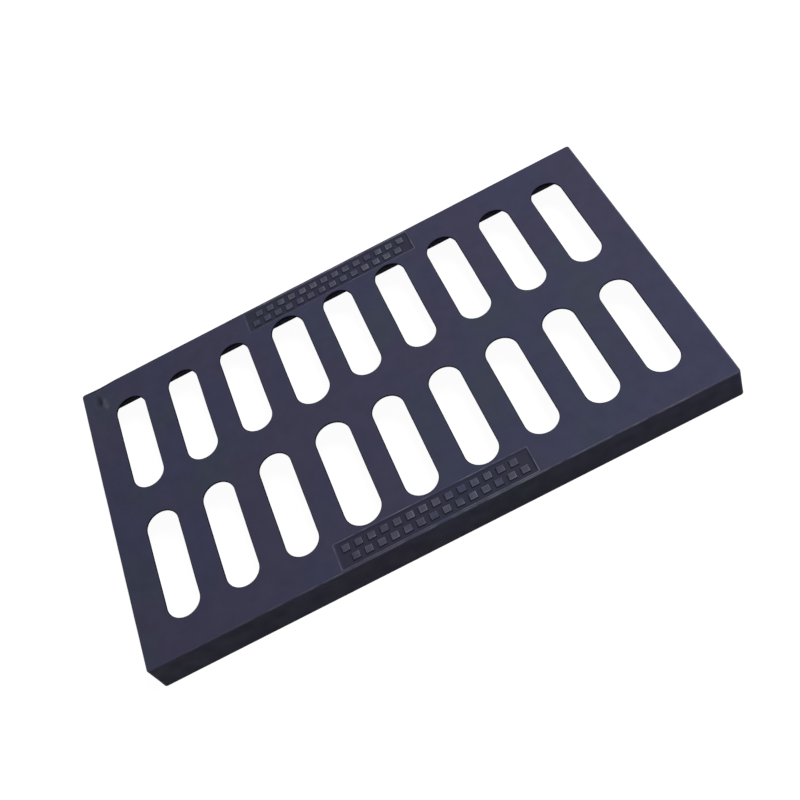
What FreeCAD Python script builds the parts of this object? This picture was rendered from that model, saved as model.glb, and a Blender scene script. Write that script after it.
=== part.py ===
"""Slotted drain grate, cast in one piece: top plate with two rows of slots, skirt and webs below.

Frame: millimetres, +Z up, origin at the middle of the footprint on the resting plane.
X runs along the long side, Y along the slots.
"""
import FreeCAD, Part
import math
import os
import Sketcher

DOC_NAME = "DrainGrate"
NODE = "grate"
TOL = 1e-4

# Driving dimensions: alias, value, what it is
SIZES = [
    ("plate_length", 500, "length of the casting"),
    ("plate_width", 300, "width of the casting"),
    ("plate_height", 30, "height from resting rim to top face"),
    ("corner_radius", 3, "rounding of the four upright corners"),
    ("top_edge_radius", 1.5, "rounding of the outer top edge"),
    ("rim_wall", 7.7, "skirt wall at the resting rim"),
    ("rim_bevel", 0.8, "bevel of the rim's inner edge"),
    ("hollow_corner_radius", 8, "inner corners of the skirt at the rim"),
    ("draft_angle", 3.5, "draft of skirt and webs, degrees"),
    ("deck_thickness", 7, "top plate between slots and skirt"),
    ("end_margin", 28.3, "plate end to first slot"),
    ("side_margin", 30.5, "long side to slot ends"),
    ("row_gap", 30.5, "band between the two rows of slots"),
    ("slot_width", 27.8, "slot width at the top face"),
    ("slot_count", 9, "slots in a row"),
    ("slot_land", 1.2, "upright part of the slot wall below the top face"),
    ("slot_bevel", 0.5, "bevel of the slots' top edge"),
    ("relief_angle", 42, "slope of the slot wall under the land, degrees from upright"),
    ("wide_slot_column", 4, "column with the wider slots, counted from the left"),
    ("wide_slot_extra", 2.8, "extra width of the wider slots, on their right side"),
    ("web_tip", 4, "web thickness at its lower edge"),
    ("web_rise", 6, "resting plane to the webs' lower edge"),
    ("web_bevel", 0.8, "bevel of the webs' lower edges"),
    ("web_bury", 0.5, "overlap of a web with the deck it hangs from"),
    ("root_bevel", 2, "bevel where deck, webs and skirt meet"),
    ("panel_length", 166, "length of a sunken panel at the top face"),
    ("panel_depth", 1.6, "depth of a sunken panel"),
    ("panel_slope", 40, "slope of a panel's sides, degrees from upright"),
    ("panel_slot_gap", 3.4, "panel to slot ends"),
    ("panel_edge_gap", 2.6, "panel to long side"),
    ("pad_count", 14, "raised pads in each of a panel's two rows"),
    ("pad_width", 7.5, "pad size along the panel, at its foot"),
    ("pad_row_gap", 2.8, "gap between the feet of the two rows of pads"),
    ("pad_side_gap", 3.6, "panel's long edge to pad foot"),
    ("pad_end_gap", 5, "panel's short edge to first pad foot"),
    ("pad_sink", 0.1, "pad top below the top face"),
    ("pad_slope", 28, "slope of a pad's sides, degrees from upright"),
]

doc = FreeCAD.newDocument(DOC_NAME)


def make_sheet():
    sheet = doc.addObject("Spreadsheet::Sheet", "Sizes")
    for row, (alias, value, note) in enumerate(SIZES, start=1):
        sheet.set("A%d" % row, note)
        sheet.set("B%d" % row, str(value))
        sheet.setAlias("B%d" % row, alias)
    doc.recompute()
    return sheet


sheet = make_sheet()


def size(alias):
    return float(sheet.get(alias))


def cell(alias):
    return "Sizes." + alias


def value(expression):
    """What an expression comes to with the sheet as it is; none is nought."""
    return float(sheet.evalExpression(expression)) if expression else 0.0


# Sizes that follow from the driving ones, as expressions
SLOT_PITCH = "((Sizes.plate_length - 2 * Sizes.end_margin - Sizes.slot_width) / (Sizes.slot_count - 1))"
FIRST_SLOT_X = "(Sizes.end_margin + Sizes.slot_width / 2 - Sizes.plate_length / 2)"
ARC_INNER_Y = "(Sizes.row_gap / 2 + Sizes.slot_width / 2)"
SLOT_END_Y = "(Sizes.plate_width / 2 - Sizes.side_margin)"
COLUMN = "(Sizes.wide_slot_column)"
WIDE_SLOT_X = "(%s + (%s - 1) * %s + Sizes.wide_slot_extra / 2)" % (FIRST_SLOT_X, COLUMN, SLOT_PITCH)
HOLLOW_DEPTH = "(Sizes.plate_height - Sizes.deck_thickness)"
PANEL_WIDTH = "(Sizes.side_margin - Sizes.panel_slot_gap - Sizes.panel_edge_gap)"
PANEL_MID_Y = "(Sizes.plate_width / 2 - Sizes.panel_edge_gap - %s / 2)" % PANEL_WIDTH
PAD_LENGTH = "((%s - 2 * Sizes.pad_side_gap - Sizes.pad_row_gap) / 2)" % PANEL_WIDTH
PAD_PITCH = "((Sizes.panel_length - 2 * Sizes.pad_end_gap - Sizes.pad_width) / (Sizes.pad_count - 0.5))"
FIRST_PAD_X = "(Sizes.pad_end_gap + Sizes.pad_width / 2 - Sizes.panel_length / 2)"
PAD_ROW_SHIFT = "((%s + Sizes.pad_row_gap) / 2)" % PAD_LENGTH

# Columns of slots, left of the wider column, at it and right of it: name, place, end radius, count
SLOT_GROUPS = [
    ("Left", FIRST_SLOT_X, "Sizes.slot_width / 2", COLUMN + " - 1"),
    ("Wide", WIDE_SLOT_X, "(Sizes.slot_width + Sizes.wide_slot_extra) / 2", None),
    (
        "Right",
        "%s + %s * %s" % (FIRST_SLOT_X, COLUMN, SLOT_PITCH),
        "Sizes.slot_width / 2",
        "Sizes.slot_count - " + COLUMN,
    ),
]

# Webs under the bars between those columns: name, place, count
WEB_GROUPS = [
    ("Left", "%s + 0.5 * %s" % (FIRST_SLOT_X, SLOT_PITCH), COLUMN + " - 1"),
    ("Wide", "%s + %s / 2" % (WIDE_SLOT_X, SLOT_PITCH), None),
    (
        "Right",
        "%s + (%s + 0.5) * %s" % (FIRST_SLOT_X, COLUMN, SLOT_PITCH),
        "Sizes.slot_count - 1 - " + COLUMN,
    ),
]

# Rows of pads in a panel, the second set half a pitch along: place along X, place across
PAD_ROWS = [
    (FIRST_PAD_X, "%s - %s" % (PANEL_MID_Y, PAD_ROW_SHIFT)),
    ("%s + %s / 2" % (FIRST_PAD_X, PAD_PITCH), "%s + %s" % (PANEL_MID_Y, PAD_ROW_SHIFT)),
]

body = doc.addObject("PartDesign::Body", "Grate")
body.Label = NODE


def origin_item(role):
    for item in body.Origin.OriginFeatures:
        if item.Role == role:
            return item
    raise RuntimeError("the body has no " + role)


def new_sketch(name, height=None):
    """A sketch on the resting plane, or on a plane at the height that the expression gives."""
    sketch = body.newObject("Sketcher::SketchObject", name)
    sketch.AttachmentSupport = [(origin_item("XY_Plane"), "")]
    sketch.MapMode = "FlatFace"
    if height:
        sketch.setExpression("AttachmentOffset.Base.z", height)
    return sketch


def bind(sketch, kind, elements, expression):
    """Adds a dimension to a sketch and ties it to the sheet."""
    index = sketch.addConstraint(Sketcher.Constraint(kind, *elements, value(expression)))
    name = "size%d" % index
    sketch.renameConstraint(index, name)
    sketch.setExpression("Constraints." + name, expression)


def place_point(sketch, geometry, vertex, x, y, sign):
    """Ties a point to the origin, at x and at sign * y; a place that isn't given lies on the axis."""
    if x:
        bind(sketch, "DistanceX", (-1, 1, geometry, vertex), x)
    else:
        sketch.addConstraint(Sketcher.Constraint("PointOnObject", geometry, vertex, -2))
    if not y:
        sketch.addConstraint(Sketcher.Constraint("PointOnObject", geometry, vertex, -1))
    elif sign > 0:
        bind(sketch, "DistanceY", (-1, 1, geometry, vertex), y)
    else:
        bind(sketch, "DistanceY", (geometry, vertex, -1, 1), y)


def centred_rectangle(sketch, length, width, x=None, y=None, sign=1):
    """A rectangle whose centre lies at x, sign * y from the sketch's origin."""
    first = sketch.GeometryCount
    middle = FreeCAD.Vector(value(x), sign * value(y), 0)
    half = FreeCAD.Vector(value(length) / 2, value(width) / 2, 0)
    turns = [(-1, -1), (1, -1), (1, 1), (-1, 1)]
    corners = [middle + FreeCAD.Vector(u * half.x, v * half.y, 0) for u, v in turns]
    for k in range(4):
        sketch.addGeometry(Part.LineSegment(corners[k], corners[(k + 1) % 4]), False)
    for k in range(4):
        sketch.addConstraint(Sketcher.Constraint("Coincident", first + k, 2, first + (k + 1) % 4, 1))
    for k, kind in enumerate(["Horizontal", "Vertical", "Horizontal", "Vertical"]):
        sketch.addConstraint(Sketcher.Constraint(kind, first + k))
    centre = sketch.addGeometry(Part.Point(middle), True)
    sketch.addConstraint(Sketcher.Constraint("Symmetric", first, 1, first + 2, 1, centre, 1))
    bind(sketch, "DistanceX", (first, 1, first, 2), length)
    bind(sketch, "DistanceY", (first + 1, 1, first + 1, 2), width)
    place_point(sketch, centre, 1, x, y, sign)


def rounded_rectangle(sketch, length, width, radius):
    """A rectangle about the sketch's origin, with an arc at each corner."""
    a, b, r = value(length) / 2, value(width) / 2, value(radius)
    up = FreeCAD.Vector(0, 0, 1)
    turns = [(1, -1), (1, 1), (-1, 1), (-1, -1)]
    starts = [(-a + r, -b), (a, -b + r), (a - r, b), (-a, b - r)]
    ends = [(a - r, -b), (a, b - r), (-a + r, b), (-a, -b + r)]
    lines, arcs = [], []
    for k, (u, v) in enumerate(turns):
        segment = Part.LineSegment(FreeCAD.Vector(*starts[k], 0), FreeCAD.Vector(*ends[k], 0))
        lines.append(sketch.addGeometry(segment, False))
        circle = Part.Circle(FreeCAD.Vector(u * (a - r), v * (b - r), 0), up, r)
        arc = Part.ArcOfCircle(circle, (k - 1) * math.pi / 2, k * math.pi / 2)
        arcs.append(sketch.addGeometry(arc, False))
    for k in range(4):
        sketch.addConstraint(Sketcher.Constraint("Tangent", lines[k], 2, arcs[k], 1))
        sketch.addConstraint(Sketcher.Constraint("Tangent", arcs[k], 2, lines[(k + 1) % 4], 1))
    for k, kind in enumerate(["Horizontal", "Vertical", "Horizontal", "Vertical"]):
        sketch.addConstraint(Sketcher.Constraint(kind, lines[k]))
    for k in range(3):
        sketch.addConstraint(Sketcher.Constraint("Equal", arcs[k], arcs[k + 1]))
    sketch.addConstraint(Sketcher.Constraint("Symmetric", arcs[0], 3, arcs[2], 3, -1, 1))
    bind(sketch, "Radius", (arcs[0],), radius)
    bind(sketch, "DistanceX", (lines[3], 1, lines[1], 1), length)
    bind(sketch, "DistanceY", (lines[0], 1, lines[2], 1), width)


def slot_outline(sketch, x, radius, sign):
    """A slot along Y with half-round ends, in the row on the side that sign gives."""
    arc_outer_y = "%s - %s" % (SLOT_END_Y, radius)
    r = value(radius)
    mid_x = value(x)
    ends = sorted([sign * value(ARC_INNER_Y), sign * value(arc_outer_y)])
    low, high = [FreeCAD.Vector(mid_x, y, 0) for y in ends]
    up = FreeCAD.Vector(0, 0, 1)
    side = FreeCAD.Vector(r, 0, 0)
    half_turn = math.pi
    high_end = Part.ArcOfCircle(Part.Circle(high, up, r), 0, half_turn)
    low_end = Part.ArcOfCircle(Part.Circle(low, up, r), half_turn, 2 * half_turn)
    top_arc = sketch.addGeometry(high_end, False)
    left = sketch.addGeometry(Part.LineSegment(high - side, low - side), False)
    bottom_arc = sketch.addGeometry(low_end, False)
    right = sketch.addGeometry(Part.LineSegment(low + side, high + side), False)
    loop = [top_arc, left, bottom_arc, right]
    for k in range(4):
        sketch.addConstraint(Sketcher.Constraint("Tangent", loop[k], 2, loop[(k + 1) % 4], 1))
    sketch.addConstraint(Sketcher.Constraint("Vertical", left))
    sketch.addConstraint(Sketcher.Constraint("Equal", top_arc, bottom_arc))
    bind(sketch, "Radius", (top_arc,), radius)
    inner_arc, outer_arc = (bottom_arc, top_arc) if sign > 0 else (top_arc, bottom_arc)
    place_point(sketch, inner_arc, 3, x, ARC_INNER_Y, sign)
    reach = (-1, 1, outer_arc, 3) if sign > 0 else (outer_arc, 3, -1, 1)
    bind(sketch, "DistanceY", reach, arc_outer_y)


def settle(feature, adds):
    """Makes a feature the body's tip and checks that it adds or removes material as it should."""
    before = settle.volume
    body.Tip = feature
    doc.recompute()
    if feature.Shape.isNull() or "Invalid" in feature.State or "Error" in feature.State:
        raise RuntimeError("%s failed: %s" % (feature.Name, feature.getStatusString()))
    now = feature.Shape.Volume
    if (now > before) != adds:
        raise RuntimeError("%s went the wrong way: %.1f to %.1f" % (feature.Name, before, now))
    settle.volume = now
    return feature


settle.volume = 0.0


def extrude(kind, name, sketch, length, adds, reverse=False, taper=None):
    """A Pad or Pocket of a sketch, with its length and side slope tied to the sheet."""
    feature = body.newObject("PartDesign::" + kind, name)
    feature.Profile = sketch
    feature.Reversed = reverse
    feature.setExpression("Length", length)
    if taper:
        feature.setExpression("TaperAngle", taper)
    return settle(feature, adds)


def row_pattern(name, original, pitch, count, adds):
    """Copies of a feature along X."""
    pattern = body.newObject("PartDesign::LinearPattern", name)
    pattern.Originals = [original]
    pattern.Direction = (origin_item("X_Axis"), [""])
    pattern.Mode = "Spacing"
    pattern.setExpression("Offset", pitch)
    pattern.setExpression("Occurrences", count)
    return settle(pattern, adds)


def edges_where(test):
    """Names of the edges of the body's present shape that pass a test."""
    return ["Edge%d" % n for n, edge in enumerate(body.Tip.Shape.Edges, start=1) if test(edge)]


def dress(kind, name, edges, amount, adds):
    """A Fillet or Chamfer on named edges of the body's present shape."""
    if not edges:
        raise RuntimeError(name + " found no edges")
    base = body.Tip
    feature = body.newObject("PartDesign::" + kind, name)
    feature.Base = (base, edges)
    feature.setExpression("Radius" if kind == "Fillet" else "Size", amount)
    return settle(feature, adds)


def level(edge, height):
    """True where a whole edge lies at one height."""
    box = edge.BoundBox
    return abs(box.ZMin - height) < TOL and abs(box.ZMax - height) < TOL


def climbs(edge, low, high):
    """True where an edge runs from one height to another."""
    box = edge.BoundBox
    return abs(box.ZMin - low) < TOL and abs(box.ZMax - high) < TOL


def outer(edge):
    """True where an edge reaches the casting's outer walls."""
    box = edge.BoundBox
    at_end = max(-box.XMin, box.XMax) > size("plate_length") / 2 - TOL
    at_side = max(-box.YMin, box.YMax) > size("plate_width") / 2 - TOL
    return at_end or at_side


def runs_along_y(edge):
    box = edge.BoundBox
    return box.XLength < TOL and box.YLength > TOL


def make_shell():
    """Outer block with rounded corners, hollowed from below by a drafted pocket."""
    outline = new_sketch("PlateOutline")
    rounded_rectangle(outline, cell("plate_length"), cell("plate_width"), cell("corner_radius"))
    extrude("Pad", "Plate", outline, cell("plate_height"), True)
    hollow = new_sketch("HollowOutline")
    inner_length = "Sizes.plate_length - 2 * Sizes.rim_wall"
    inner_width = "Sizes.plate_width - 2 * Sizes.rim_wall"
    rounded_rectangle(hollow, inner_length, inner_width, cell("hollow_corner_radius"))
    draft = "-Sizes.draft_angle * 1 deg"
    extrude("Pocket", "Hollow", hollow, HOLLOW_DEPTH, False, reverse=True, taper=draft)


def make_webs():
    """A drafted web under each bar, from skirt to skirt, with bevelled roots and lower edges."""
    length = "Sizes.plate_width - Sizes.rim_wall"
    rise = "%s - Sizes.web_rise + Sizes.web_bury" % HOLLOW_DEPTH
    for name, x, count in WEB_GROUPS:
        outline = new_sketch(name + "WebOutline", cell("web_rise"))
        centred_rectangle(outline, cell("web_tip"), length, x=x)
        web = extrude("Pad", name + "Web", outline, rise, True, taper="Sizes.draft_angle * 1 deg")
        if count:
            row_pattern(name + "Webs", web, SLOT_PITCH, count, True)
    ceiling = size("plate_height") - size("deck_thickness")
    roots = edges_where(lambda e: level(e, ceiling) or climbs(e, size("web_rise"), ceiling))
    dress("Chamfer", "Roots", roots, cell("root_bevel"), True)
    tips = edges_where(lambda e: level(e, size("web_rise")) and runs_along_y(e))
    dress("Chamfer", "WebTips", tips, cell("web_bevel"), False)
    rim = edges_where(lambda e: level(e, 0) and not outer(e))
    dress("Chamfer", "RimEdge", rim, cell("rim_bevel"), False)


def make_slots():
    """Both rows of slots: an upright land at the top, and a wall that slopes away under it."""
    for name, x, radius, count in SLOT_GROUPS:
        relief = new_sketch(name + "ReliefOutline", "Sizes.plate_height - Sizes.slot_land")
        slot = new_sketch(name + "SlotOutline", cell("plate_height"))
        for sketch in (relief, slot):
            for side in (-1, 1):
                slot_outline(sketch, x, radius, side)
        depth = "Sizes.deck_thickness - Sizes.slot_land"
        slope = "Sizes.relief_angle * 1 deg"
        cut_relief = extrude("Pocket", name + "Relief", relief, depth, False, taper=slope)
        if count:
            row_pattern(name + "Reliefs", cut_relief, SLOT_PITCH, count, False)
        cut_slot = extrude("Pocket", name + "Slot", slot, cell("slot_land"), False)
        if count:
            row_pattern(name + "Slots", cut_slot, SLOT_PITCH, count, False)
    top = size("plate_height")
    rims = edges_where(lambda e: level(e, top) and not outer(e))
    dress("Chamfer", "SlotEdges", rims, cell("slot_bevel"), False)


def make_panels():
    """A shallow sunken panel along each long side, with two staggered rows of plain raised pads."""
    outline = new_sketch("PanelOutline", cell("plate_height"))
    foot = new_sketch("PadOutline", "Sizes.plate_height - Sizes.panel_depth")
    for side in (-1, 1):
        centred_rectangle(outline, cell("panel_length"), PANEL_WIDTH, y=PANEL_MID_Y, sign=side)
        for pad_x, pad_y in PAD_ROWS:
            centred_rectangle(foot, cell("pad_width"), PAD_LENGTH, x=pad_x, y=pad_y, sign=side)
    slope = "-Sizes.panel_slope * 1 deg"
    extrude("Pocket", "Panels", outline, cell("panel_depth"), False, taper=slope)
    height = "Sizes.panel_depth - Sizes.pad_sink"
    pads = extrude("Pad", "PadColumn", foot, height, True, taper="-Sizes.pad_slope * 1 deg")
    row_pattern("Pads", pads, PAD_PITCH, cell("pad_count"), True)


def round_top():
    top = size("plate_height")
    edges = edges_where(lambda e: level(e, top) and outer(e))
    dress("Fillet", "TopEdge", edges, cell("top_edge_radius"), False)


def check_document():
    for item in doc.Objects:
        if "Invalid" in item.State or "Error" in item.State:
            raise RuntimeError(item.Name + " failed to recompute")
    shape = body.Shape
    if shape.isNull() or not shape.isValid() or len(shape.Solids) != 1:
        raise RuntimeError("the casting isn't one valid solid")


make_shell()
make_webs()
make_slots()
make_panels()
round_top()
doc.recompute()
check_document()
os.makedirs("parts", exist_ok=True)
body.Shape.exportStep("parts/%s.step" % body.Label)
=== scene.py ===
"""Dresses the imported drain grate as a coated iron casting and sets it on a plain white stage."""

import math
from collections import namedtuple

import bmesh
import bpy
from bpy.props import FloatProperty, FloatVectorProperty, IntProperty, PointerProperty
from mathutils import Matrix, Quaternion, Vector, noise


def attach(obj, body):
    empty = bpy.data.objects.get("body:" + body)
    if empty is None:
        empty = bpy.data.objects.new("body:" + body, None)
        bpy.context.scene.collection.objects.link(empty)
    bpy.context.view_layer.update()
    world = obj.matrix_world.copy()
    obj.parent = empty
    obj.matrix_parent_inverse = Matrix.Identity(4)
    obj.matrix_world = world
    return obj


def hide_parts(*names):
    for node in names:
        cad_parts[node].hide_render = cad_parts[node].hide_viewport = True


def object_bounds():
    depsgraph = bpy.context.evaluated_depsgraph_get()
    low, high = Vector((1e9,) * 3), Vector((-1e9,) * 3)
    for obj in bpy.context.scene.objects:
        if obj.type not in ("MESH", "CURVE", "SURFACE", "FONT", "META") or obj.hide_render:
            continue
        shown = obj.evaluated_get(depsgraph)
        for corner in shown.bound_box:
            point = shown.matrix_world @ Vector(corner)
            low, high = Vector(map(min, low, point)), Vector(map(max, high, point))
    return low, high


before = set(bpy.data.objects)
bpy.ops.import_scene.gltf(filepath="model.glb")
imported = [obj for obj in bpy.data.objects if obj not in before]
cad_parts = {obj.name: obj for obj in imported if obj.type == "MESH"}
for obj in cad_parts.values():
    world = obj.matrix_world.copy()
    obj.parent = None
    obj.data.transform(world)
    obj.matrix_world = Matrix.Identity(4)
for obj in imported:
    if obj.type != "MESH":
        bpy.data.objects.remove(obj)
CAD_LOW, CAD_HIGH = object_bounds()

bl_info = {
    "name": "Drain Grate",
    "version": (1, 0, 0),
    "blender": (4, 5, 0),
    "location": "View3D > Sidebar > Drain Grate",
    "description": "Dresses a cast drain grate with a dark coat and sets its stage",
    "category": "Object",
}

NODE = "grate"
BODY = "root"
TOP = CAD_HIGH.z

# Marks on the casting's faces that the coat reads: edge and pad wear with a painted highlight, painted
# shade on the slot rims and walls, and painted shade in sunken places
MARKS = ("wear_and_highlight_mark", "rim", "painted_shade_and_mottle")

# Limits that tell faces, edges and corners apart
WELD = 1e-6  # corners nearer than this are one
THIN = 4e-5  # wedges thinner than this are closed
CUT_SNAP = 1e-4  # a cut runs through corners nearer than this
LEVEL = 1e-4  # heights nearer than this are level
PAD_LEVEL = 2.5e-5  # tells the pads' tops from the top face
FLAT_TURN = math.radians(0.5)  # faces that turn less are one flat
SHARP_TURN = math.radians(25)  # an edge that turns more is sharp
UPWARD = 0.98  # a face whose normal rises more lies flat
STEEP = 0.55  # a face whose normal rises less is steep
DENT_SKIN = 0.003  # dents move only what lies this close to the top

# Dents in the far left corner: the gouge and the chip in the edge, darkened with painted shade, and a
# lighter spot beside them, partly wear and partly painted highlight
Dent = namedtuple("Dent", "x y size width turn depth dirt rub")
DENTS = (
    Dent(-0.2352, 0.1320, 0.020, 0.0085, math.radians(95), 0.0022, 0.85, 0.0),
    Dent(-0.2320, 0.1480, 0.038, 0.0080, 0.0, 0.0012, 0.85, 0.0),
    Dent(-0.2290, 0.1270, 0.020, 0.0080, math.radians(95), 0.0004, 0.0, 0.55),
)

# Patterns in the coat
Pattern = namedtuple("Pattern", "scale detail")
HUE_DRIFT = Pattern(11.0, 2.0)
SLATE_DRIFT = Pattern(17.0, 2.0)
MOTTLE = Pattern(85.0, 4.0)
PITS = Pattern(260.0, 3.0)
GRAIN = Pattern(900.0, 3.0)

# How far each pattern acts
Reach = namedtuple("Reach", "low high to_low to_high")
HUE_REACH = Reach(0.40, 0.60, 0.0, 1.0)
SLATE_REACH = Reach(0.52, 0.68, 0.0, 1.0)
SHADE_REACH = Reach(0.3, 0.7, 0.0, 0.16)
WEAR_AND_HIGHLIGHT_REACH = Reach(0.35, 0.65, 0.1, 0.9)
ROUGHNESS_REACH = Reach(0.3, 0.7, 0.50, 0.64)
SHEEN = 0.07
BUMP_STRENGTH = 0.35
PIT_DEPTH = 0.0002
GRAIN_DEPTH = 0.0001


# Settings

class GrateCastingSettings(bpy.types.PropertyGroup):
    """Sizes of what the foundry leaves on the casting, and how far its faces take the painted shade, wear
    and highlight.
    """

    arris_round: FloatProperty(
        name="Arris round",
        description="Width of the rounding that the coat leaves on outer edges",
        default=0.00045,
        subtype="DISTANCE",
        unit="LENGTH",
    )
    slot_round: FloatProperty(
        name="Slot round",
        description="Width of the rounding on the edges of the slots' narrow lands",
        default=0.00025,
        subtype="DISTANCE",
        unit="LENGTH",
    )
    root_round: FloatProperty(
        name="Root round",
        description="Width of the rounding at the feet of the panels' sides and pads",
        default=0.0004,
        subtype="DISTANCE",
        unit="LENGTH",
    )
    round_steps: IntProperty(
        name="Round steps",
        description="Faces across each rounding",
        default=2,
        min=1,
    )
    mesh_step: FloatProperty(
        name="Mesh step",
        description="Spacing of the cuts that let the flat faces follow the sand mould's waves",
        default=0.005,
        subtype="DISTANCE",
        unit="LENGTH",
    )
    wave_depth: FloatProperty(
        name="Wave depth",
        description="How far the sand mould's waves sink into the faces",
        default=0.00022,
        subtype="DISTANCE",
        unit="LENGTH",
    )
    wave_length: FloatProperty(
        name="Wave length",
        description="Distance between the waves",
        default=0.022,
        subtype="DISTANCE",
        unit="LENGTH",
    )
    panel_depth: FloatProperty(
        name="Panel depth",
        description="Depth of the two sunken panels below the top face",
        default=0.0016,
        subtype="DISTANCE",
        unit="LENGTH",
    )
    side_band: FloatProperty(
        name="Side band",
        description="Width of the margin along each long side that holds the panels",
        default=0.028,
        subtype="DISTANCE",
        unit="LENGTH",
    )
    edge_band: FloatProperty(
        name="Edge band",
        description="Width and depth of the rubbed outer top edge",
        default=0.0018,
        subtype="DISTANCE",
        unit="LENGTH",
    )
    rim_depth: FloatProperty(
        name="Rim depth",
        description="How deep the slots' dark rims reach",
        default=0.0022,
        subtype="DISTANCE",
        unit="LENGTH",
    )
    slot_depth: FloatProperty(
        name="Slot depth",
        description="How deep the slots' walls reach",
        default=0.0071,
        subtype="DISTANCE",
        unit="LENGTH",
    )
    pad_sink: FloatProperty(
        name="Pad sink",
        description="How far the tops of the panels' pads lie below the top face",
        default=0.0001,
        subtype="DISTANCE",
        unit="LENGTH",
    )
    # Wear with a painted highlight along the outer top edge.
    edge_wear_and_highlight: FloatProperty(
        name="Edge rub",
        description="How far the outer top edge takes the worn colour",
        default=0.65,
        subtype="FACTOR",
        min=0.0,
        max=1.0,
    )
    # Wear with a painted highlight on the pads' tops.
    pad_wear_and_highlight: FloatProperty(
        name="Pad rub",
        description="How far the pads' tops take the worn colour",
        default=0.3,
        subtype="FACTOR",
        min=0.0,
        max=1.0,
    )
    # The painted highlight and the wear both fade towards the left end by this share.
    left_wear_and_highlight: FloatProperty(
        name="Left rub",
        description="Share of the wear that is left at the left end, where the grate is handled least",
        default=0.15,
        subtype="FACTOR",
        min=0.0,
        max=1.0,
    )
    # Painted shade on the panels' floors and at their feet.
    panel_shade: FloatProperty(
        name="Panel shade",
        description="How far the panels' floors take the recess colour",
        default=0.6,
        subtype="FACTOR",
        min=0.0,
        max=1.0,
    )
    # Painted shade on the pads' sides.
    pad_shade: FloatProperty(
        name="Pad shade",
        description="How far the pads' sides take the recess colour",
        default=1.0,
        subtype="FACTOR",
        min=0.0,
        max=1.0,
    )
    # Painted shade on the slots' rims and, more faintly, on their walls.
    rim_shade: FloatProperty(
        name="Rim shade",
        description="How far the slots' rims take the rim colour",
        default=0.85,
        subtype="FACTOR",
        min=0.0,
        max=1.0,
    )
    wall_shade: FloatProperty(
        name="Wall shade",
        description="How far the slots' walls take the rim colour",
        default=0.3,
        subtype="FACTOR",
        min=0.0,
        max=1.0,
    )
    dent_step: FloatProperty(
        name="Dent step",
        description="Spacing of the finer cuts round the dents",
        default=0.001,
        subtype="DISTANCE",
        unit="LENGTH",
    )
    seat_height: FloatProperty(
        name="Seat height",
        description="Height over which the waves fade out towards the flat rim that the grate rests on",
        default=0.004,
        subtype="DISTANCE",
        unit="LENGTH",
    )


class GrateCoatSettings(bpy.types.PropertyGroup):
    """Colours and finish of the coat, with the colours of its painted shade and of its wear with painted
    highlight.
    """

    blue: FloatVectorProperty(
        name="Blue",
        description="Colour of the coat where it leans to blue",
        default=(0.044, 0.046, 0.089),
        subtype="COLOR",
    )
    violet: FloatVectorProperty(
        name="Violet",
        description="Colour of the coat where it leans to violet",
        default=(0.049, 0.045, 0.083),
        subtype="COLOR",
    )
    slate: FloatVectorProperty(
        name="Slate",
        description="Colour of the coat where it leans to slate",
        default=(0.043, 0.050, 0.079),
        subtype="COLOR",
    )
    # A light colour for wear together with a painted highlight on the edges, the pads' tops and beside the
    # dents.
    wear_and_highlight: FloatVectorProperty(
        name="Worn edge",
        description="Colour of the rubbed outer edges",
        default=(0.190, 0.190, 0.235),
        subtype="COLOR",
    )
    # A dark colour for painted shade in the panels, on the pads' sides, in the dents and at the skirt's
    # foot; the coat's random mottle also darkens towards it.
    painted_shade_and_mottle: FloatVectorProperty(
        name="Recess",
        description="Colour of the coat in sunken places",
        default=(0.020, 0.020, 0.034),
        subtype="COLOR",
    )
    # A near-black colour for painted shade on the slots' rims and walls.
    rim: FloatVectorProperty(
        name="Rim",
        description="Dull colour of the slots' rims, where soil stays",
        default=(0.006, 0.006, 0.011),
        subtype="COLOR",
    )
    dull_from: FloatProperty(
        name="Dull from",
        description="Share of the rim colour from which the coat has no sheen",
        default=0.25,
        subtype="FACTOR",
        min=0.0,
        max=1.0,
    )
    # Painted shade: the skirt darkens towards its foot.
    foot_shade: FloatProperty(
        name="Foot shade",
        description="How far the skirt takes the recess colour at its foot",
        default=0.6,
        subtype="FACTOR",
        min=0.0,
        max=1.0,
    )


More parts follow.
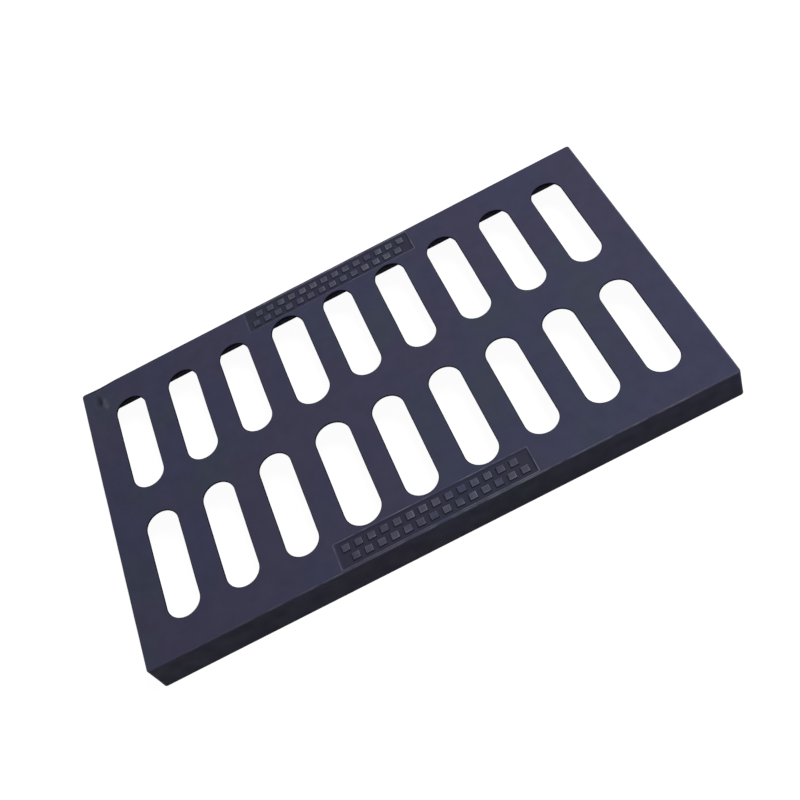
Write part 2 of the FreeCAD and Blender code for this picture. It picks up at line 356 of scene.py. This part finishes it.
class GrateStageSettings(bpy.types.PropertyGroup):
    """Camera, floor and lamps."""

    target: FloatVectorProperty(
        name="Target",
        description="Point that the camera looks at",
        default=(0.01204, -0.02597, TOP),
        subtype="TRANSLATION",
        unit="LENGTH",
    )
    distance: FloatProperty(
        name="Distance",
        description="From the camera to its target",
        default=0.9338,
        subtype="DISTANCE",
        unit="LENGTH",
    )
    azimuth: FloatProperty(
        name="Azimuth",
        description="Turn of the camera's line of sight from +Y towards +X",
        default=math.radians(-2.521),
        subtype="ANGLE",
        unit="ROTATION",
    )
    elevation: FloatProperty(
        name="Elevation",
        description="Height of the camera above the horizon",
        default=math.radians(50.942),
        subtype="ANGLE",
        unit="ROTATION",
    )
    roll: FloatProperty(
        name="Roll",
        description="Turn of the camera about its line of sight",
        default=math.radians(-29.077),
        subtype="ANGLE",
        unit="ROTATION",
    )
    lens: FloatProperty(
        name="Lens",
        description="Focal length in millimetres on a 36 mm sensor",
        default=51.51,
        unit="CAMERA",
    )
    floor_size: FloatProperty(
        name="Floor size",
        description="Side of the floor",
        default=12.0,
        subtype="DISTANCE",
        unit="LENGTH",
    )
    floor_glow: FloatProperty(
        name="Floor glow",
        description="Share of the floor's white that doesn't depend on the lamps",
        default=0.96,
        subtype="FACTOR",
        min=0.0,
        max=1.0,
    )
    floor_white: FloatProperty(
        name="Floor white",
        description="How much of the lamps' light the floor shows on top of its glow",
        default=0.16,
        subtype="FACTOR",
        min=0.0,
        max=1.0,
    )
    floor_grey: FloatProperty(
        name="Floor grey",
        description="How much of the light the floor throws back on the grate",
        default=0.12,
        subtype="FACTOR",
        min=0.0,
        max=1.0,
    )
    sky_level: FloatProperty(
        name="Sky level",
        description="Strength of the even light from all round",
        default=0.20,
        subtype="FACTOR",
        min=0.0,
        max=1.0,
    )
    key_power: FloatProperty(
        name="Key power",
        description="Power of the soft lamp overhead",
        default=21.3,
        unit="POWER",
    )
    key_size: FloatProperty(
        name="Key size",
        description="Side of the soft lamp",
        default=1.0,
        subtype="DISTANCE",
        unit="LENGTH",
    )
    key_place: FloatVectorProperty(
        name="Key place",
        description="Where the soft lamp hangs",
        default=(0.75, 0.1, 1.4),
        subtype="TRANSLATION",
        unit="LENGTH",
    )


# Casting

def clean_copy(source):
    """A mesh of the solid with one face for each flat, ready to be rounded."""
    bm = bmesh.new()
    bm.from_mesh(source)
    bmesh.ops.remove_doubles(bm, verts=bm.verts, dist=WELD)
    bmesh.ops.dissolve_limit(
        bm, angle_limit=FLAT_TURN, verts=bm.verts, edges=bm.edges, use_dissolve_boundaries=False
    )
    bm.normal_update()
    return bm


def outward(edge):
    """True for a sharp level edge that turns outwards."""
    first, second = edge.verts
    return edge.calc_face_angle_signed(0.0) > SHARP_TURN and abs(first.co.z - second.co.z) < LEVEL


def in_slots(place, settings):
    """True for a place on the slots' rims or walls."""
    depth = TOP - place.z
    between_panels = abs(place.y) < CAD_HIGH.y - settings.side_band
    return depth < settings.slot_depth and (between_panels or depth > settings.rim_depth)


def slot_edge(edge, settings):
    """True for an edge of the slots' rims or walls."""
    return all(in_slots(vertex.co, settings) for vertex in edge.verts)


def round_edges(bm, edges, width, steps):
    """Rounds the edges and returns the new faces."""
    made = bmesh.ops.bevel(
        bm,
        geom=edges,
        offset=width,
        offset_type="OFFSET",
        segments=steps,
        profile=0.5,
        affect="EDGES",
        clamp_overlap=False,
        loop_slide=True,
    )
    bm.normal_update()
    return made["faces"]


def round_panel_feet(bm, settings):
    """Rounds the inner corners on the panels' floors and returns the new faces."""
    floor = TOP - settings.panel_depth
    feet = []
    for edge in bm.edges:
        inward = edge.calc_face_angle_signed(0.0) < -SHARP_TURN
        if inward and all(abs(vertex.co.z - floor) < LEVEL for vertex in edge.verts):
            feet.append(edge)
    return round_edges(bm, feet, settings.root_round, settings.round_steps)


def cut_planes(bm, axis, low, high, step, geometry):
    """Cuts the geometry across one axis at even steps, through any corners that lie close to a cut."""
    count = round((high - low) / step)
    normal = Vector((0, 0, 0))
    normal[axis] = 1
    for index in range(count):
        place = Vector((0, 0, 0))
        place[axis] = low + (index + 0.5) * (high - low) / count
        cut = bmesh.ops.bisect_plane(bm, geom=geometry, dist=CUT_SNAP, plane_co=place, plane_no=normal)
        geometry = cut["geom"]


def mark_faces(bm, settings, rounded):
    """Marks painted shade on the panel floors, the pads' sides and the slot rims and walls, and wear with a
    painted highlight on the edges and the pads' tops.
    """
    wear_and_highlight_mark = bm.faces.layers.float["wear_and_highlight_mark"]
    painted_shade_and_mottle = bm.faces.layers.float["painted_shade_and_mottle"]
    rim = bm.faces.layers.float["rim"]
    for face in rounded:
        face[wear_and_highlight_mark] = float(face.calc_center_median().z > TOP - settings.rim_depth)
    for face in bm.faces:
        centre = face.calc_center_median()
        depth = TOP - centre.z
        margin = min(CAD_HIGH.x - abs(centre.x), CAD_HIGH.y - abs(centre.y))
        if face.normal.z > UPWARD:
            if abs(depth - settings.panel_depth) < LEVEL:
                face[painted_shade_and_mottle] = settings.panel_shade
            elif abs(depth - settings.pad_sink) < PAD_LEVEL:
                face[wear_and_highlight_mark] = settings.pad_wear_and_highlight
        elif max(depth, margin) < settings.edge_band:
            face[wear_and_highlight_mark] = settings.edge_wear_and_highlight
        elif in_slots(centre, settings) and face.normal.z > -UPWARD:
            face[rim] = settings.rim_shade if depth < settings.rim_depth else settings.wall_shade
        elif depth < settings.panel_depth and face.normal.z < STEEP:
            face[painted_shade_and_mottle] = settings.pad_shade


def fade_wear_and_highlight(bm, settings):
    """Lets the wear and its painted highlight fade from the middle towards the left end."""
    wear_and_highlight_mark = bm.faces.layers.float["wear_and_highlight_mark"]
    for face in bm.faces:
        share = min(1.0, 1.0 - face.calc_center_median().x / CAD_LOW.x)
        face[wear_and_highlight_mark] *= settings.left_wear_and_highlight + (1.0 - settings.left_wear_and_highlight) * share


def dent_share(dent, place):
    """1 in the middle of a dent, falling to 0 at its outline."""
    offset = Vector((place.x - dent.x, place.y - dent.y))
    offset.rotate(Matrix.Rotation(-dent.turn, 2))
    reach = (2 * offset.x / dent.size) ** 2 + (2 * offset.y / dent.width) ** 2
    return max(0.0, 1.0 - reach) ** 2


def faces_by_dents(bm, reach):
    """The faces of the top that lie within reach of a dent."""
    chosen = []
    for face in bm.faces:
        centre = face.calc_center_median()
        beside = any(max(abs(centre.x - dent.x), abs(centre.y - dent.y)) < reach for dent in DENTS)
        if beside and centre.z > TOP - DENT_SKIN:
            chosen.append(face)
    return chosen


def with_edges(faces):
    """The faces together with their edges and corners."""
    edges = dict.fromkeys(edge for face in faces for edge in face.edges)
    corners = dict.fromkeys(vertex for face in faces for vertex in face.verts)
    return [*corners, *edges, *faces]


def press_dents(bm, settings):
    """Presses the dents into the top face, on a finer mesh about them, and paints shade into them or wear
    with a painted highlight beside them.
    """
    wear_and_highlight_mark = bm.faces.layers.float["wear_and_highlight_mark"]
    painted_shade_and_mottle = bm.faces.layers.float["painted_shade_and_mottle"]
    reach = max(dent.size for dent in DENTS) / 2 + settings.mesh_step
    for axis in range(2):
        places = [(dent.x, dent.y)[axis] for dent in DENTS]
        low = min(places) - reach
        high = max(places) + reach
        cut_planes(bm, axis, low, high, settings.dent_step, with_edges(faces_by_dents(bm, reach)))
    for face in faces_by_dents(bm, reach):
        for dent in DENTS:
            share = dent_share(dent, face.calc_center_median())
            face[wear_and_highlight_mark] += dent.rub * share
            face[painted_shade_and_mottle] = max(face[painted_shade_and_mottle], dent.dirt * share)
    for vertex in bm.verts:
        if vertex.co.z > TOP - DENT_SKIN:
            vertex.co.z -= sum(dent.depth * dent_share(dent, vertex.co) for dent in DENTS)


def sink_waves(bm, settings):
    """Lets the faces sink by the uneven depth of a sand mould, always inwards."""
    bm.normal_update()
    moves = []
    for vertex in bm.verts:
        fade = min(1.0, max(0.0, vertex.co.z / settings.seat_height))
        wave = noise.noise(vertex.co / settings.wave_length) * 0.5 + 0.5
        moves.append(vertex.normal * (-settings.wave_depth * wave * fade))
    for vertex, move in zip(bm.verts, moves):
        vertex.co += move
        vertex.co.z = min(vertex.co.z, TOP)


def round_casting(bm, settings):
    """Rounds the panels' feet, the slots' edges and the other arrises, and marks the faces for the coat."""
    for name in MARKS:
        bm.faces.layers.float.new(name)
    painted_shade_and_mottle = bm.faces.layers.float["painted_shade_and_mottle"]
    # Painted shade at the feet of the panels' sides and pads.
    for face in round_panel_feet(bm, settings):
        face[painted_shade_and_mottle] = settings.panel_shade
    slot_edges = [edge for edge in bm.edges if outward(edge) and slot_edge(edge, settings)]
    round_edges(bm, slot_edges, settings.slot_round, settings.round_steps)
    arrises = [edge for edge in bm.edges if outward(edge) and not slot_edge(edge, settings)]
    rounded = round_edges(bm, arrises, settings.arris_round, settings.round_steps)
    mark_faces(bm, settings, rounded)


def roughen_casting(bm, settings):
    """Cuts the faces finely, closes the thin wedges that leaves, and lets in the waves and dents."""
    for axis in range(3):
        everything = bm.verts[:] + bm.edges[:] + bm.faces[:]
        cut_planes(bm, axis, CAD_LOW[axis], CAD_HIGH[axis], settings.mesh_step, everything)
    bmesh.ops.remove_doubles(bm, verts=bm.verts, dist=THIN)
    fade_wear_and_highlight(bm, settings)
    sink_waves(bm, settings)
    press_dents(bm, settings)


def make_casting(settings):
    """The casting as a new object that stands for the solid."""
    bm = clean_copy(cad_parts[NODE].data)
    round_casting(bm, settings)
    roughen_casting(bm, settings)
    mesh = bpy.data.meshes.new("grate_casting")
    bm.to_mesh(mesh)
    bm.free()
    mesh.shade_smooth()
    mesh.set_sharp_from_angle(angle=SHARP_TURN)
    casting = bpy.data.objects.new("grate_casting", mesh)
    bpy.context.scene.collection.objects.link(casting)
    even = casting.modifiers.new("even_normals", "WEIGHTED_NORMAL")
    even.keep_sharp = True
    return casting


# Coat

def add_node(tree, kind, **settings):
    """Adds a shader node and sets its attributes."""
    made = tree.nodes.new(kind)
    for name, value in settings.items():
        setattr(made, name, value)
    return made


def noise_of(tree, place, pattern):
    """A noise texture over the object's own coordinates."""
    made = add_node(tree, "ShaderNodeTexNoise")
    made.inputs["Scale"].default_value = pattern.scale
    made.inputs["Detail"].default_value = pattern.detail
    tree.links.new(place, made.inputs["Vector"])
    return made.outputs["Fac"]


def spread(tree, value, low, high, to_low, to_high):
    """Stretches a value from one range to another."""
    made = add_node(tree, "ShaderNodeMapRange")
    for name, number in (("From Min", low), ("From Max", high), ("To Min", to_low), ("To Max", to_high)):
        made.inputs[name].default_value = number
    tree.links.new(value, made.inputs["Value"])
    return made.outputs["Result"]


def mix_colour(tree, factor, first, second):
    """Mixes two colours, each a socket or a colour."""
    made = add_node(tree, "ShaderNodeMix", data_type="RGBA")
    tree.links.new(factor, made.inputs["Factor"])
    for socket, colour in ((made.inputs["A"], first), (made.inputs["B"], second)):
        if isinstance(colour, bpy.types.NodeSocket):
            tree.links.new(colour, socket)
        else:
            socket.default_value = (*colour, 1.0)
    return made.outputs["Result"]


def multiply(tree, first, second):
    """Multiplies two values."""
    made = add_node(tree, "ShaderNodeMath", operation="MULTIPLY")
    tree.links.new(first, made.inputs[0])
    tree.links.new(second, made.inputs[1])
    return made.outputs["Value"]


def face_mark(tree, name):
    """One of the marks on the casting's faces."""
    return add_node(tree, "ShaderNodeAttribute", attribute_name=name).outputs["Fac"]


def bump(tree, height, depth):
    """A bump node that raises the surface by a pattern."""
    made = add_node(tree, "ShaderNodeBump")
    made.inputs["Strength"].default_value = BUMP_STRENGTH
    made.inputs["Distance"].default_value = depth
    tree.links.new(height, made.inputs["Height"])
    return made


def make_coat(settings):
    """A dark blue-black coat over sand-cast iron, with painted shade in its hollows, on its slot rims and
    at its foot, and wear with a painted highlight on its edges.
    """
    coat = bpy.data.materials.new("coated_iron")
    coat.use_nodes = True
    tree = coat.node_tree
    shader = tree.nodes["Principled BSDF"]
    place = add_node(tree, "ShaderNodeTexCoord").outputs["Object"]

    hue = spread(tree, noise_of(tree, place, HUE_DRIFT), *HUE_REACH)
    slate = spread(tree, noise_of(tree, place, SLATE_DRIFT), *SLATE_REACH)
    mottle = noise_of(tree, place, MOTTLE)
    colour = mix_colour(tree, hue, settings.violet, settings.blue)
    colour = mix_colour(tree, slate, colour, settings.slate)
    # Random darker mottling of the coat's tone.
    colour = mix_colour(tree, spread(tree, mottle, *SHADE_REACH), colour, settings.painted_shade_and_mottle)

    # Painted shade in the panels, on the pads' sides and in the dents.
    colour = mix_colour(tree, face_mark(tree, "painted_shade_and_mottle"), colour, settings.painted_shade_and_mottle)
    # Painted shade: the coat darkens towards the foot of the skirt.
    height = add_node(tree, "ShaderNodeSeparateXYZ")
    tree.links.new(place, height.inputs["Vector"])
    foot = spread(tree, height.outputs["Z"], TOP, 0.0, 0.0, settings.foot_shade)
    colour = mix_colour(tree, foot, colour, settings.painted_shade_and_mottle)
    # Painted shade: near-black on the slots' rims, fainter on their walls.
    rim = face_mark(tree, "rim")
    colour = mix_colour(tree, rim, colour, settings.rim)
    # Wear with a painted highlight on the edges, the pads' tops and beside the dents.
    rubbed_and_highlit = multiply(tree, face_mark(tree, "wear_and_highlight_mark"), spread(tree, mottle, *WEAR_AND_HIGHLIGHT_REACH))
    colour = mix_colour(tree, rubbed_and_highlit, colour, settings.wear_and_highlight)
    tree.links.new(colour, shader.inputs["Base Color"])

    tree.links.new(spread(tree, mottle, *ROUGHNESS_REACH), shader.inputs["Roughness"])
    sheen = spread(tree, rim, 0.0, settings.dull_from, SHEEN, 0.0)
    tree.links.new(sheen, shader.inputs["Specular IOR Level"])

    rough = bump(tree, noise_of(tree, place, PITS), PIT_DEPTH)
    fine = bump(tree, noise_of(tree, place, GRAIN), GRAIN_DEPTH)
    tree.links.new(rough.outputs["Normal"], fine.inputs["Normal"])
    tree.links.new(fine.outputs["Normal"], shader.inputs["Normal"])
    return coat


# Stage

def seen_rays(tree):
    """1 for rays from the camera, or from a mirror or glass that shows the background."""
    path = add_node(tree, "ShaderNodeLightPath")
    seen = path.outputs["Is Camera Ray"]
    for name in ("Is Glossy Ray", "Is Transmission Ray"):
        either = add_node(tree, "ShaderNodeMath", operation="MAXIMUM")
        tree.links.new(seen, either.inputs[0])
        tree.links.new(path.outputs[name], either.inputs[1])
        seen = either.outputs["Value"]
    return seen


def make_floor(settings):
    """A white floor that keeps a faint shadow."""
    half = settings.floor_size / 2
    corners = [(-half, -half, 0), (half, -half, 0), (half, half, 0), (-half, half, 0)]
    mesh = bpy.data.meshes.new("floor")
    mesh.from_pydata(corners, [], [(0, 1, 2, 3)])
    floor = bpy.data.objects.new("floor", mesh)
    bpy.context.scene.collection.objects.link(floor)

    paper = bpy.data.materials.new("white_paper")
    paper.use_nodes = True
    tree = paper.node_tree
    tree.nodes.clear()
    glow = add_node(tree, "ShaderNodeEmission")
    glow.inputs["Strength"].default_value = settings.floor_glow
    shadow = add_node(tree, "ShaderNodeBsdfDiffuse")
    shadow.inputs["Color"].default_value = (*[settings.floor_white] * 3, 1.0)
    shown = add_node(tree, "ShaderNodeAddShader")
    tree.links.new(glow.outputs[0], shown.inputs[0])
    tree.links.new(shadow.outputs[0], shown.inputs[1])
    bounce = add_node(tree, "ShaderNodeBsdfDiffuse")
    bounce.inputs["Color"].default_value = (*[settings.floor_grey] * 3, 1.0)
    chosen = add_node(tree, "ShaderNodeMixShader")
    tree.links.new(seen_rays(tree), chosen.inputs[0])
    tree.links.new(bounce.outputs[0], chosen.inputs[1])
    tree.links.new(shown.outputs[0], chosen.inputs[2])
    end = add_node(tree, "ShaderNodeOutputMaterial")
    tree.links.new(chosen.outputs[0], end.inputs["Surface"])
    mesh.materials.append(paper)


def make_sky(settings):
    """An even sky, white where it is seen and dimmer as a light."""
    sky = bpy.data.worlds.new("white_studio")
    sky.use_nodes = True
    tree = sky.node_tree
    background = tree.nodes["Background"]
    background.inputs["Color"].default_value = (1.0, 1.0, 1.0, 1.0)
    level = spread(tree, seen_rays(tree), 0.0, 1.0, settings.sky_level, 1.0)
    tree.links.new(level, background.inputs["Strength"])
    bpy.context.scene.world = sky


def make_lamp(settings):
    """One large soft lamp overhead."""
    light = bpy.data.lights.new("key_lamp", "AREA")
    light.energy = settings.key_power
    light.size = settings.key_size
    lamp = bpy.data.objects.new("key_lamp", light)
    lamp.location = settings.key_place
    lamp.rotation_mode = "QUATERNION"
    lamp.rotation_quaternion = (-lamp.location).to_track_quat("-Z", "Y")
    bpy.context.scene.collection.objects.link(lamp)


def make_camera(settings):
    """The camera, rolled about its line of sight."""
    level = math.cos(settings.elevation)
    sight = Vector((
        math.sin(settings.azimuth) * level,
        math.cos(settings.azimuth) * level,
        -math.sin(settings.elevation),
    ))
    data = bpy.data.cameras.new("camera")
    data.lens = settings.lens
    camera = bpy.data.objects.new("camera", data)
    camera.location = Vector(settings.target) - sight * settings.distance
    camera.rotation_mode = "QUATERNION"
    camera.rotation_quaternion = sight.to_track_quat("-Z", "Y") @ Quaternion((0, 0, 1), settings.roll)
    bpy.context.scene.collection.objects.link(camera)
    bpy.context.scene.camera = camera


# Operators

class GRATE_OT_casting(bpy.types.Operator):
    """Makes the coated casting"""

    bl_idname = "grate.casting"
    bl_label = "Make Casting"

    def execute(self, context):
        casting = make_casting(context.scene.grate_casting)
        casting.data.materials.append(make_coat(context.scene.grate_coat))
        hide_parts(NODE)
        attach(casting, BODY)
        return {"FINISHED"}


class GRATE_OT_stage(bpy.types.Operator):
    """Makes the floor, the light and the camera"""

    bl_idname = "grate.stage"
    bl_label = "Make Stage"

    def execute(self, context):
        settings = context.scene.grate_stage
        make_floor(settings)
        make_sky(settings)
        make_lamp(settings)
        make_camera(settings)
        context.scene.view_settings.view_transform = "Standard"
        return {"FINISHED"}


# Panel

class GRATE_PT_sidebar(bpy.types.Panel):
    """Lists the grate's operators and settings"""

    bl_idname = "GRATE_PT_sidebar"
    bl_label = "Drain Grate"
    bl_space_type = "VIEW_3D"
    bl_region_type = "UI"
    bl_category = "Drain Grate"

    def draw(self, context):
        layout = self.layout
        for operator, groups in PANEL_ROWS:
            layout.operator(operator)
            for group in groups:
                settings = getattr(context.scene, group)
                for name in settings.__annotations__:
                    layout.prop(settings, name)


PANEL_ROWS = (
    (GRATE_OT_casting.bl_idname, ("grate_casting", "grate_coat")),
    (GRATE_OT_stage.bl_idname, ("grate_stage",)),
)
SETTINGS = {
    "grate_casting": GrateCastingSettings,
    "grate_coat": GrateCoatSettings,
    "grate_stage": GrateStageSettings,
}
CLASSES = (*SETTINGS.values(), GRATE_OT_casting, GRATE_OT_stage, GRATE_PT_sidebar)


def register():
    for made in CLASSES:
        bpy.utils.register_class(made)
    for name, group in SETTINGS.items():
        setattr(bpy.types.Scene, name, PointerProperty(type=group))


def unregister():
    for name in SETTINGS:
        delattr(bpy.types.Scene, name)
    for made in reversed(CLASSES):
        bpy.utils.unregister_class(made)


def main():
    """Registers the classes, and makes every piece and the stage."""
    register()
    bpy.ops.grate.casting()
    bpy.ops.grate.stage()


if __name__ == "__main__":
    main()
